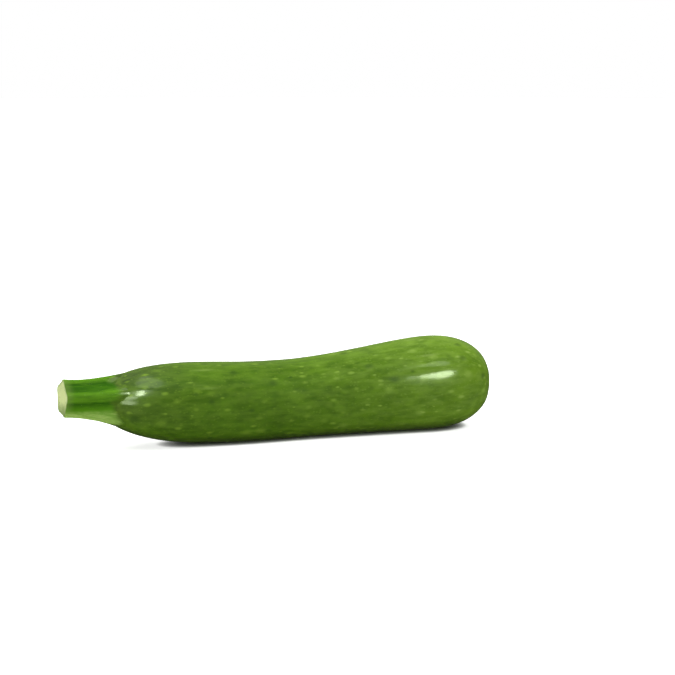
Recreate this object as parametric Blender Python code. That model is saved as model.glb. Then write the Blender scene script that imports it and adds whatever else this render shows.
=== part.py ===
"""A zucchini as picked, lying on its side: a faintly ribbed fruit and its cut, five-ridged stem.

X runs along the fruit, with the cut stem at -X and the blossom end at +X. +Z is up, and the fruit
rests on z = 0 on a small flat along its underside. The origin is under the middle of the whole.

Both pieces are skinned over rings of points. A place on them is given by its distance along the
axis, counted from the fruit's stem end towards the blossom end, by an angle round the axis, counted
from the front (-Y) upwards, and by a radius.
"""

import math

import bmesh
import bpy
from mathutils import Vector

MM = 0.001

# Driving dimensions
FRUIT_LENGTH = 187 * MM
STEM_LENGTH = 16.8 * MM
NECK_RADIUS = 18.4 * MM
BELLY_RADIUS = 22.4 * MM

# The fruit's outline. A place is a share of the fruit's length, and a power rounds an end.
SWELL_START = 0.465
SWELL_END = 0.90
SHOULDER_LENGTH = 0.27 * FRUIT_LENGTH
SHOULDER_POWER = 2.35
DOME_LENGTH = 0.195 * FRUIT_LENGTH
DOME_POWER = 2.75

# How it lies: the stem end is lifted off the surface, the blossom end droops a little, and the
# whole is bowed a little sideways. The flat that it rests on is this deep.
STEM_END_LIFT = 4.8 * MM
LIFTED_SHARE = 0.43
BLOSSOM_DROOP = 0.4 * MM
SIDE_BOW = 1.0 * MM
REST_FLAT_DEPTH = 0.65 * MM

# Five main ribs run on from the stem's ridges, with five fainter ones between them.
RIDGES = 5
RIDGE_ANGLE = math.radians(32)
RIB_AT_SHOULDER = 0.036
RIB_ON_BODY = 0.010
RIB_FADE = 0.30
FAINT_RIB = 0.005

# Slow unevenness of a grown skin: (share of the radius, turns round, turns along, start)
LUMPS = (
    (0.007, 2, 1.4, 0.6),
    (0.006, 1, 2.3, 2.0),
    (0.004, 3, 3.7, 1.1),
)

# The corky scar where the blossom sat. Shares are of its radius.
SCAR_RADIUS = 5.2 * MM
SCAR_RIM = 0.35 * MM
RIM_PLACE = 0.86
RIM_WIDTH = 0.12
SCAR_NUB = 0.6 * MM
NUB_WIDTH = 0.22

# The stem. Each size is a pair: in the groove, and on the ridge. A toe's share is of the fruit's
# full radius, and its reach and rise lead the stem's side out of the shoulder. The ridges turn by
# the twist on their way to the cut.
CUT_RADIUS = (7.1 * MM, 8.9 * MM)
WAIST_RADIUS = (6.6 * MM, 8.7 * MM)
TOE_SHARE = (0.60, 0.76)
TOE_REACH = (4.9 * MM, 8.6 * MM)
TOE_RISE = (2.6 * MM, 2.9 * MM)
WAIST_HEIGHT = 7.2 * MM
RIDGE_SHARPNESS = 1.25
STEM_TWIST = math.radians(-20)
FACE_RIDGE = 0.45 * MM
FACE_RIDGE_SHARPNESS = 6
TOE_EDGE = 0.8 * MM
CUT_SLOPE = -0.09
CUT_SIDE_SLOPE = 0.12
CUT_DISH = 0.5 * MM
CUT_CHAMFER = 0.5 * MM

# Meshes hold 32-bit numbers, so the stem stays this far off the fruit that it grew from.
SEAT_GAP = 0.3 * MM

# Steps over which a direction is read off a curve, and the angle from which an edge is shaded sharp
AXIS_STEP = 0.5 * MM
SHOULDER_STEP = 0.01
SHARP_ANGLE = math.radians(50)

# Rings of points
FRUIT_SIDES = 60
SHOULDER_RINGS = 12
BODY_RINGS = 20
DOME_RINGS = 10
SCAR_RINGS = 6
STEM_SIDES = 50
STEM_RINGS = 14
CUT_RINGS = 4
SEAT_RINGS = 6

# Linear colours, roughness
SKIN_COLOUR = (0.082, 0.175, 0.016)
SKIN_ROUGHNESS = 0.34
STEM_COLOUR = (0.110, 0.270, 0.024)
STEM_ROUGHNESS = 0.55


def smooth_step(low, high, value):
    """0 below low, 1 above high, and an even S between them."""
    share = min(max((value - low) / (high - low), 0.0), 1.0)
    return share * share * (3 - 2 * share)


def between(pair, share):
    """The value that lies this share of the way from the pair's first to its second."""
    return pair[0] + (pair[1] - pair[0]) * share


def body_radius(along):
    """Radius of the fruit at a distance along it, before its two ends are rounded."""
    swell = smooth_step(SWELL_START, SWELL_END, along / FRUIT_LENGTH)
    return between((NECK_RADIUS, BELLY_RADIUS), swell)


def axis_point(along):
    """A point on the curved axis. It runs on past the fruit's stem end into the stem."""
    lifted = max(0.0, 1 - along / (LIFTED_SHARE * FRUIT_LENGTH))
    drooped = max(0.0, 1 - (FRUIT_LENGTH - along) / DOME_LENGTH)
    height = body_radius(along) - REST_FLAT_DEPTH
    height += STEM_END_LIFT * lifted**2 - BLOSSOM_DROOP * drooped**2
    middle = along / FRUIT_LENGTH - 0.5
    return Vector((along, SIDE_BOW * (1 - 4 * middle**2), height))


def place(along, angle, radius):
    """The point at a radius and angle from the axis, in the plane square to the axis there."""
    forward = (axis_point(along + AXIS_STEP) - axis_point(along - AXIS_STEP)).normalized()
    back = Vector((0, 0, 1)).cross(forward).normalized()
    up = forward.cross(back)
    return axis_point(along) + (up * math.sin(angle) - back * math.cos(angle)) * radius


def ridge_share(angle):
    """1 on a ridge of the stem and 0 in the groove midway to the next."""
    wave = 0.5 + 0.5 * math.cos(RIDGES * (angle - RIDGE_ANGLE))
    return wave**RIDGE_SHARPNESS


def skin_factor(along, angle):
    """What the ribs and the slow unevenness do to the fruit's radius."""
    share = along / FRUIT_LENGTH
    turn = RIDGES * (angle - RIDGE_ANGLE)
    near_stem = max(0.0, 1 - share / RIB_FADE) ** 2
    ribs = between((RIB_ON_BODY, RIB_AT_SHOULDER), near_stem) * math.cos(turn)
    faint_ribs = FAINT_RIB * math.cos(2 * turn)
    lumps = sum(
        size * math.cos(round_turns * angle + math.tau * along_turns * share + start)
        for size, round_turns, along_turns, start in LUMPS
    )
    return 1 + ribs + faint_ribs + lumps


def rounding(closed, length, power):
    """How far towards the tip a rounded end has run when it has closed to this share of the radius."""
    return length * (1 - closed**power) ** (1 / power)


def shoulder_section(closed, angle):
    """(distance along, radius) on the fruit's stem end, where it is this share of its full radius."""
    along = SHOULDER_LENGTH - rounding(closed, SHOULDER_LENGTH, SHOULDER_POWER)
    return along, body_radius(along) * closed * skin_factor(along, angle)


def scar_relief(radius):
    """Height of the blossom scar over the dome: a raised rim with a nub in its middle."""
    out = radius / SCAR_RADIUS
    rim = SCAR_RIM * math.exp(-(((out - RIM_PLACE) / RIM_WIDTH) ** 2))
    nub = SCAR_NUB * math.exp(-((out / NUB_WIDTH) ** 2))
    return rim + nub


def fruit_rings():
    """The fruit's sections as (distance along, share of the full radius), without its two tips."""
    for ring in range(1, SHOULDER_RINGS):
        closed = math.sin(math.pi / 2 * ring / SHOULDER_RINGS) ** (2 / SHOULDER_POWER)
        yield SHOULDER_LENGTH - rounding(closed, SHOULDER_LENGTH, SHOULDER_POWER), closed
    straight = FRUIT_LENGTH - SHOULDER_LENGTH - DOME_LENGTH
    for ring in range(BODY_RINGS + 1):
        yield SHOULDER_LENGTH + straight * ring / BODY_RINGS, 1.0
    scar_share = SCAR_RADIUS / BELLY_RADIUS
    scar_turn = math.acos(scar_share ** (DOME_POWER / 2))
    for ring in range(1, DOME_RINGS + 1):
        closed = math.cos(scar_turn * ring / DOME_RINGS) ** (2 / DOME_POWER)
        yield FRUIT_LENGTH - DOME_LENGTH + rounding(closed, DOME_LENGTH, DOME_POWER), closed
    for ring in range(1, SCAR_RINGS):
        closed = scar_share * (1 - ring / SCAR_RINGS)
        along = FRUIT_LENGTH - DOME_LENGTH + rounding(closed, DOME_LENGTH, DOME_POWER)
        yield along + scar_relief(closed * BELLY_RADIUS), closed


def fruit_point(along, closed, angle):
    """A point of the skin. Nothing reaches under the surface that the fruit rests on."""
    point = place(along, angle, body_radius(along) * closed * skin_factor(along, angle))
    point.z = max(point.z, 0.0)
    return point


def seat_section(angle, share, off):
    """(distance along, radius) on the fruit under the stem, lifted off the skin.

    share runs from 0 in the middle of the seat to 1 at the edge of the stem's foot.
    """
    closed = share * between(TOE_SHARE, ridge_share(angle))
    along, radius = shoulder_section(closed, angle)
    further_along, further_radius = shoulder_section(closed + SHOULDER_STEP, angle)
    slope = Vector((further_along - along, further_radius - radius)).normalized()
    return along - slope.y * off, radius + slope.x * off


def stem_side(angle, share):
    """(distance along, radius) on the stem's side, from its toes, at 0, to its cut end, at 1.

    A cubic curve: it leaves the fruit's shoulder at a low angle and ends along the stem's axis.
    """
    ridge = ridge_share(angle - STEM_TWIST * share)
    face_ridge = FACE_RIDGE * (1 - ridge) ** FACE_RIDGE_SHARPNESS
    toe_along, toe_radius = seat_section(angle, 1, SEAT_GAP + TOE_EDGE)
    cut_radius = between(CUT_RADIUS, ridge) + face_ridge
    points = (
        (toe_along, toe_radius),
        (toe_along - between(TOE_REACH, ridge), toe_radius - between(TOE_RISE, ridge)),
        (WAIST_HEIGHT - STEM_LENGTH, between(WAIST_RADIUS, ridge) + face_ridge),
        (cut_along(angle, cut_radius) + CUT_CHAMFER, cut_radius),
    )
    rest = 1 - share
    weights = (rest**3, 3 * rest**2 * share, 3 * rest * share**2, share**3)
    return tuple(
        sum(weight * point[axis] for weight, point in zip(weights, points))
        for axis in (0, 1)
    )


def cut_along(angle, radius):
    """Distance along of the knife's slanting cut, which left the stem longest at the back."""
    slope = CUT_SLOPE * math.sin(angle) + CUT_SIDE_SLOPE * math.cos(angle)
    return -STEM_LENGTH + slope * radius


def cut_section(angle, share):
    """(distance along, radius) on the cut face, from its rim, at 1, to its dished middle, at 0."""
    rim = stem_side(angle, 1)[1] - CUT_CHAMFER
    radius = rim * share
    return cut_along(angle, radius) + CUT_DISH * (1 - share**2), radius


def skin(name, rings, first_tip, last_tip, colour, roughness):
    """One closed solid over rings of points, closed at each end to a tip."""
    shape = bmesh.new()
    loops = [[shape.verts.new(point) for point in ring] for ring in rings]
    for near, far in zip(loops, loops[1:]):
        for side in range(len(near)):
            following = (side + 1) % len(near)
            shape.faces.new((near[side], near[following], far[following], far[side]))
    for tip, loop in ((first_tip, loops[0]), (last_tip, loops[-1])):
        corner = shape.verts.new(tip)
        for side in range(len(loop)):
            shape.faces.new((loop[side], loop[(side + 1) % len(loop)], corner))
    bmesh.ops.recalc_face_normals(shape, faces=shape.faces)
    mesh = bpy.data.meshes.new(name)
    shape.to_mesh(mesh)
    shape.free()
    mesh.shade_smooth()
    mesh.set_sharp_from_angle(angle=SHARP_ANGLE)
    mesh.materials.append(material(name, colour, roughness))
    made = bpy.data.objects.new(name, mesh)
    bpy.context.scene.collection.objects.link(made)
    return made


def material(name, colour, roughness):
    """A plain finish for one piece."""
    made = bpy.data.materials.new(name)
    made.use_nodes = True
    surface = made.node_tree.nodes["Principled BSDF"]
    surface.inputs["Base Color"].default_value = (*colour, 1)
    surface.inputs["Roughness"].default_value = roughness
    surface.inputs["Metallic"].default_value = 0
    made.diffuse_color = (*colour, 1)
    return made


def angles(sides):
    """Evenly spaced angles, the first of them on a ridge."""
    return [RIDGE_ANGLE + math.tau * side / sides for side in range(sides)]


def build_fruit():
    """The fruit, from its stem end to its blossom scar."""
    rings = [
        [fruit_point(along, closed, angle) for angle in angles(FRUIT_SIDES)]
        for along, closed in fruit_rings()
    ]
    last_tip = axis_point(FRUIT_LENGTH + scar_relief(0))
    return skin("fruit", rings, axis_point(0), last_tip, SKIN_COLOUR, SKIN_ROUGHNESS)


def build_stem():
    """The stem: its seat over the fruit's end, its ridged side and its cut face."""
    turns = angles(STEM_SIDES)
    sections = [
        [seat_section(angle, ring / SEAT_RINGS, SEAT_GAP) for angle in turns]
        for ring in range(1, SEAT_RINGS + 1)
    ]
    sections += [
        [stem_side(angle, ring / STEM_RINGS) for angle in turns]
        for ring in range(STEM_RINGS + 1)
    ]
    sections += [
        [cut_section(angle, ring / CUT_RINGS) for angle in turns]
        for ring in range(CUT_RINGS, 0, -1)
    ]
    rings = [
        [place(along, angle, radius) for angle, (along, radius) in zip(turns, section)]
        for section in sections
    ]
    seat_tip = axis_point(-SEAT_GAP)
    cut_tip = axis_point(cut_along(0, 0) + CUT_DISH)
    return skin("stem", rings, seat_tip, cut_tip, STEM_COLOUR, STEM_ROUGHNESS)


def centre_on_origin(pieces):
    """Hangs the pieces from an empty that brings the middle of the whole over the origin."""
    points = [vertex.co for piece in pieces for vertex in piece.data.vertices]
    frame = bpy.data.objects.new("rest_frame", None)
    bpy.context.scene.collection.objects.link(frame)
    for axis in (0, 1):
        reached = [point[axis] for point in points]
        frame.location[axis] = -(min(reached) + max(reached)) / 2
    for piece in pieces:
        piece.parent = frame


def main():
    for leftover in list(bpy.data.objects):
        bpy.data.objects.remove(leftover)
    centre_on_origin([build_fruit(), build_stem()])


main()
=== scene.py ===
"""The looks of a zucchini as picked, lying on a pale floor in soft studio light.

The fruit and its stem are skins over rings of points. A place on them is given by its distance
along a curved axis, counted from the fruit's stem end towards the blossom end, by a turn round
that axis, counted from the front (-Y) upwards, and by a distance out from it. Lengths are metres.
"""

import math

import bmesh
import bpy
from mathutils import Matrix, Vector


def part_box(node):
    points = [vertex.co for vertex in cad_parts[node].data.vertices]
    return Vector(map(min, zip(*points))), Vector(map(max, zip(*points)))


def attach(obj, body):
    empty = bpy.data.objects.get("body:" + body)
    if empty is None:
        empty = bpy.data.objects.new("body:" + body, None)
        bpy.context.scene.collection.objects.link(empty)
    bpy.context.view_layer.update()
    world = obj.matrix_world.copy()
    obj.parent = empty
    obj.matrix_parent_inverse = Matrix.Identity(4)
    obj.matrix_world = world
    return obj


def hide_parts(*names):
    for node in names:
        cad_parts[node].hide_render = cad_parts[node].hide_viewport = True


bl_info = {
    "name": "Zucchini",
    "version": (1, 0, 0),
    "blender": (4, 5, 0),
    "location": "3D View > Sidebar > Zucchini",
    "description": "Makes a zucchini with its ribbed skin and cut stem, and a studio stage for it",
    "category": "Object",
}

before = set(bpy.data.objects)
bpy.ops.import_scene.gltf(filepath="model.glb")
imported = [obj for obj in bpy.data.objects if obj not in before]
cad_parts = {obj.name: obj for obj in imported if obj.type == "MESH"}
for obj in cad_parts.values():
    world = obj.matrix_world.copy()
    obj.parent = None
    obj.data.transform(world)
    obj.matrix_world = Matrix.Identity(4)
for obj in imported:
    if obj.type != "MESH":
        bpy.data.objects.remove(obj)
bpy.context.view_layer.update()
FRUIT_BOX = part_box("fruit")

MM = 0.001
FRUIT_LENGTH = 187 * MM

# Slow unevenness of a grown skin: (share of the radius, turns round, turns along, start)
LUMPS = (
    (0.007, 2, 1.4, 0.6),
    (0.006, 1, 2.3, 2.0),
    (0.004, 3, 3.7, 1.1),
)

# The softboxes: (name, the place that it faces, azimuth, elevation, size, share of the full
# brightness). Angles are in degrees.
SOFTBOX_DISTANCE = 0.30
SOFTBOX_TINT = (0.86, 1.0, 0.68)
SOFTBOXES = (
    ("belly_streak", (0.0703, -0.0208, 0.0292), 22, 21, (0.104, 0.078), 1.0),
    ("belly_sheen", (0.0715, -0.0188, 0.0338), 32, 56, (0.085, 0.105), 0.15),
    ("shoulder_spot", (-0.0674, -0.0137, 0.0275), -22, 34, (0.040, 0.140), 1.25),
    ("shoulder_glow", (-0.0674, -0.0137, 0.0275), -24, 34, (0.110, 0.260), 0.09),
    ("shoulder_tail", (-0.0735, -0.0123, 0.0250), -33, 11, (0.120, 0.110), 0.36),
    ("shoulder_bloom", (-0.0890, -0.0120, 0.0310), 0, 86, (0.090, 0.280), 0.10),
)

# The broad light overhead, the floor and the camera
OVERHEAD_SPREAD = math.radians(90)
OVERHEAD_TILT = math.radians(-4)
FLOOR_RADIUS = 6.0
FRUIT_MIDDLE = (0, 0, 0.02)
SENSOR_WIDTH = 36
CLIP_NEAR, CLIP_FAR = 0.01, 50

# How the rings of points are shared out. Each number is where a stretch ends, as a share of them.
FRUIT_STRETCHES = {"shoulder": 0.25, "body": 0.68, "dome": 0.92, "scar": 1.0}
STEM_STRETCHES = {"seat": 0.08, "side": 0.84, "rim": 0.90, "cut": 1.0}

# Where the toes meet the skin, as a share of the reach of the stem's seat
TOE_END = 1.03

# Added to a stored share on a stretch that its finish must leave alone
OUT_OF_REACH = 4

# The relief's noise: cells a metre, and how far it is drawn out along the fruit
DIMPLES = {"scale": 70, "stretch": 1.8}
SMALL_DIMPLES = {"scale": 260, "stretch": 1.6}
CREASE_WANDER = {"scale": 60}
SCAR_GRAIN = {"scale": 900}
STEM_FIBRES = {"scale": 700, "stretch": 9}
STEM_KNOTS = {"scale": 230, "stretch": 1.5}
CUT_GRAIN = {"scale": 900}
CREASES_ROUND = 23

# The skin's grains: cells a metre, stretch, and the noise where each starts and where it is full
SKIN_GRAINS = (
    {"scale": 75.0, "stretch": 1.6, "low": -0.16, "high": 0.16},  # mottle
    {"scale": 230.0, "stretch": 1.5, "low": -0.14, "high": 0.14},  # dapple
    {"scale": 480.0, "stretch": 4.5, "low": -0.12, "high": 0.14},  # streaks
)

# The skin's marks, which sit one in a cell, and the share of them that is kept
SKIN_MARKS = (
    {"scale": 330.0, "stretch": 2.2, "size": 0.17, "softness": 0.6, "kept": 0.55},  # flecks
    {"scale": 210.0, "stretch": 1.6, "size": 0.20, "softness": 0.8, "kept": 0.42},  # blots
    {"scale": 900.0, "stretch": 1.5, "size": 0.22, "softness": 0.6, "kept": 0.6},  # dust
    {"scale": 150.0, "stretch": 1.4, "size": 0.17, "softness": 0.7, "kept": 0.38},  # spots
    {"scale": 140.0, "stretch": 7.0, "size": 0.07, "softness": 0.7, "kept": 0.42},  # scuffs
)
CUT_VESSELS = {"scale": 1100.0, "size": 0.28, "softness": 0.4, "kept": 0.7}

# Heights over the floor at which a tone starts and at which it is full: the painted shadow on top
# by the stem, the painted light on the stem's low grooves and underside, and the cut's darker lower
# part
PAINTED_TOP_SHADOW_HEIGHTS = (23 * MM, 35 * MM)
PAINTED_LIGHT_GROOVE_HEIGHTS = (24.0 * MM, 19.5 * MM)
PAINTED_UNDERSIDE_LIGHT_HEIGHTS = (20.4 * MM, 18.2 * MM)
CUT_LOWER_TONE_HEIGHTS = (23.5 * MM, 18.0 * MM)

WAX_ROUGHNESS = 0.14


# Fields: numbers and vectors that vary over a surface, worked with in Python's own operators


class Field:
    """A number that varies over a surface. Python's operators on it add Math nodes to its tree."""

    def __init__(self, socket):
        self.socket = socket
        self.tree = socket.id_data

    def __add__(self, other):
        return work(self.tree, "ADD", self, other)

    def __radd__(self, other):
        return work(self.tree, "ADD", other, self)

    def __sub__(self, other):
        return work(self.tree, "SUBTRACT", self, other)

    def __rsub__(self, other):
        return work(self.tree, "SUBTRACT", other, self)

    def __mul__(self, other):
        return work(self.tree, "MULTIPLY", self, other)

    def __rmul__(self, other):
        return work(self.tree, "MULTIPLY", other, self)

    def __truediv__(self, other):
        return work(self.tree, "DIVIDE", self, other)

    def __rtruediv__(self, other):
        return work(self.tree, "DIVIDE", other, self)

    def __pow__(self, other):
        return work(self.tree, "POWER", self, other)

    def __neg__(self):
        return work(self.tree, "MULTIPLY", self, -1.0)

    def __gt__(self, other):
        return work(self.tree, "GREATER_THAN", self, other)


class VectorField(Field):
    """A vector that varies over a surface."""

    def __add__(self, other):
        return work_vector(self.tree, "ADD", self, other)

    def __sub__(self, other):
        return work_vector(self.tree, "SUBTRACT", self, other)

    def __mul__(self, number):
        node = add(self.tree, "ShaderNodeVectorMath", {0: self, "Scale": number}, operation="SCALE")
        return VectorField(node.outputs[0])

    def cross(self, other):
        return work_vector(self.tree, "CROSS_PRODUCT", self, other)

    def normalized(self):
        return work_vector(self.tree, "NORMALIZE", self)

    def parts(self):
        """Its x, y and z as three fields."""
        return [Field(out) for out in add(self.tree, "ShaderNodeSeparateXYZ", {0: self}).outputs]


def feed(slot, value):
    """Links a field to an input socket, or sets the socket to a plain value."""
    if isinstance(value, Field):
        slot.id_data.links.new(value.socket, slot)
    else:
        slot.default_value = value


def add(tree, kind, feeds=None, **settings):
    """Adds a node with its settings, and feeds its input sockets by name or by number."""
    node = tree.nodes.new(kind)
    for name, value in settings.items():
        setattr(node, name, value)
    for name, value in (feeds or {}).items():
        feed(node.inputs[name], value)
    return node


def work(tree, operation, *values):
    """The result of a Math node."""
    node = add(tree, "ShaderNodeMath", dict(enumerate(values)), operation=operation)
    return Field(node.outputs[0])


def work_vector(tree, operation, *values):
    """The result of a Vector Math node."""
    node = add(tree, "ShaderNodeVectorMath", dict(enumerate(values)), operation=operation)
    return VectorField(node.outputs[0])


def sine(value):
    return work(value.tree, "SINE", value)


def cosine(value):
    return work(value.tree, "COSINE", value)


def hump(value):
    """1 where value is 0, falling to 0 on both sides as a bell does."""
    return work(value.tree, "EXPONENT", -(value * value))


def at_least(value, low):
    return work(value.tree, "MAXIMUM", value, low)


def clamped(value):
    """The value kept between 0 and 1."""
    return Field(add(value.tree, "ShaderNodeClamp", {0: value}).outputs[0])


def smooth_step(low, high, value):
    """0 below low, 1 above high, and an even S between them. High may be the lower of the two."""
    share = clamped((value - low) / (high - low))
    return share * share * (3 - 2 * share)


def between(first, second, share):
    """The value that lies this share of the way from the first to the second."""
    return first + (second - first) * share


def vector(tree, x, y, z):
    return VectorField(add(tree, "ShaderNodeCombineXYZ", {0: x, 1: y, 2: z}).outputs[0])


# Node groups and trees


def new_group(name, kind, inputs, outputs, formula):
    """A node group whose outputs are what formula makes of its inputs.

    inputs is {name: default}, and outputs is {name: socket type}. A default that is a sequence
    makes a vector socket.
    """
    tree = bpy.data.node_groups.new(name, kind)
    for label, default in inputs.items():
        is_vector = hasattr(default, "__len__")
        socket_type = "NodeSocketVector" if is_vector else "NodeSocketFloat"
        item = tree.interface.new_socket(label, in_out="INPUT", socket_type=socket_type)
        item.default_value = default
    for label, socket_type in outputs.items():
        tree.interface.new_socket(label, in_out="OUTPUT", socket_type=socket_type)
    start, end = tree.nodes.new("NodeGroupInput"), tree.nodes.new("NodeGroupOutput")
    made = formula(*(as_field(start.outputs[label]) for label in inputs))
    for label, value in zip(outputs, made if isinstance(made, tuple) else (made,)):
        feed(end.inputs[label], value)
    return tree


def as_field(socket):
    return VectorField(socket) if socket.type == "VECTOR" else Field(socket)


def use(tree, group, **values):
    """Places a node group in a tree, feeds it, and returns its outputs as fields."""
    kind = "GeometryNodeGroup" if tree.type == "GEOMETRY" else "ShaderNodeGroup"
    node = add(tree, kind, node_tree=group)
    for name, value in values.items():
        feed(node.inputs[name.replace("_", " ").capitalize()], value)
    found = [as_field(socket) for socket in node.outputs]
    return found if len(found) > 1 else found[0]


def new_tree(name, inputs):
    """A tree for a Geometry Nodes modifier, and its inputs as fields by name."""
    tree = bpy.data.node_groups.new(name, "GeometryNodeTree")
    tree.interface.new_socket("Geometry", in_out="OUTPUT", socket_type="NodeSocketGeometry")
    for label, (kind, default) in inputs.items():
        item = tree.interface.new_socket(label, in_out="INPUT", socket_type="NodeSocket" + kind)
        if default is not None:
            item.default_value = default
    start = tree.nodes.new("NodeGroupInput")
    return tree, {label: as_field(start.outputs[label]) for label in inputs}


def grow(name, tree, values):
    """An object whose plain mesh is what the tree makes of these values, given by input name."""
    made = bpy.data.objects.new(name, bpy.data.meshes.new(name))
    bpy.context.scene.collection.objects.link(made)
    modifier = made.modifiers.new(tree.name, "NODES")
    modifier.node_group = tree
    for item in tree.interface.items_tree:
        if item.in_out == "INPUT" and item.name in values:
            modifier[item.identifier] = values[item.name]
    depsgraph = bpy.context.evaluated_depsgraph_get()
    mesh = bpy.data.meshes.new_from_object(made.evaluated_get(depsgraph), depsgraph=depsgraph)
    made.modifiers.remove(modifier)
    made.data = mesh
    mesh.name = name
    return made


def stored(tree, geometry, name, value):
    """The geometry with one more point attribute, for the materials to read."""
    kind = "GeometryNodeStoreNamedAttribute"
    node = add(tree, kind, {"Name": name}, data_type="FLOAT", domain="POINT")
    tree.links.new(geometry, node.inputs["Geometry"])
    feed(node.inputs["Value"], value)
    return node.outputs["Geometry"]


def moved(tree, geometry, position=None, offset=None):
    """The geometry with its points set to a position, or moved by an offset."""
    node = add(tree, "GeometryNodeSetPosition")
    tree.links.new(geometry, node.inputs["Geometry"])
    if position is not None:
        feed(node.inputs["Position"], position)
    if offset is not None:
        feed(node.inputs["Offset"], offset)
    return node.outputs["Geometry"]


def captured(tree, geometry, *fields):
    """The geometry with the fields' present values held, and those held values as fields."""
    node = add(tree, "GeometryNodeCaptureAttribute", domain="POINT")
    for number, field in enumerate(fields):
        node.capture_items.new("FLOAT", f"Held {number}")
        feed(node.inputs[number + 1], field)
    tree.links.new(geometry, node.inputs["Geometry"])
    held = (Field(node.outputs[number + 1]) for number in range(len(fields)))
    return node.outputs["Geometry"], *held


def closed_and_raised(tree, geometry, height):
    """The geometry with its seam and poles closed, and then raised along its normals."""
    geometry, height = captured(tree, geometry, height)
    merge = add(tree, "GeometryNodeMergeByDistance", {"Distance": 0.001 * MM})
    tree.links.new(geometry, merge.inputs["Geometry"])
    normal = VectorField(add(tree, "GeometryNodeInputNormal").outputs[0])
    return moved(tree, merge.outputs["Geometry"], offset=normal * height)


def ended(tree, geometry, material):
    """Ends the tree: shades smooth, realizes instances and sets the material."""
    chain = (
        add(tree, "GeometryNodeRealizeInstances"),
        add(tree, "GeometryNodeSetShadeSmooth"),
        add(tree, "GeometryNodeSetMaterial", {"Material": material}),
        tree.nodes.new("NodeGroupOutput"),
    )
    for node in chain:
        tree.links.new(geometry, node.inputs["Geometry"])
        if node.outputs:
            geometry = node.outputs["Geometry"]


def stretch_share(place, stretches, name):
    """How far a stretch of rings has been run, from 0 before it to 1 after it."""
    names = list(stretches)
    before = names.index(name) - 1
    start = stretches[names[before]] if before >= 0 else 0.0
    return clamped((place - start) / (stretches[name] - start))


def ring_grid(tree, rings, sides):
    """A grid of points to be bent into rings: (geometry, share along, turn round)."""
    grid = add(tree, "GeometryNodeMeshGrid", {"Size X": 1.0, "Size Y": 1.0})
    feed(grid.inputs["Vertices X"], rings + 1)
    feed(grid.inputs["Vertices Y"], sides + 1)
    x, y, _ = VectorField(add(tree, "GeometryNodeInputPosition").outputs[0]).parts()
    return captured(tree, grid.outputs["Mesh"], x + 0.5, (y + 0.5) * math.tau)


# The zucchini's form, as groups that the trees of its pieces share


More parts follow.
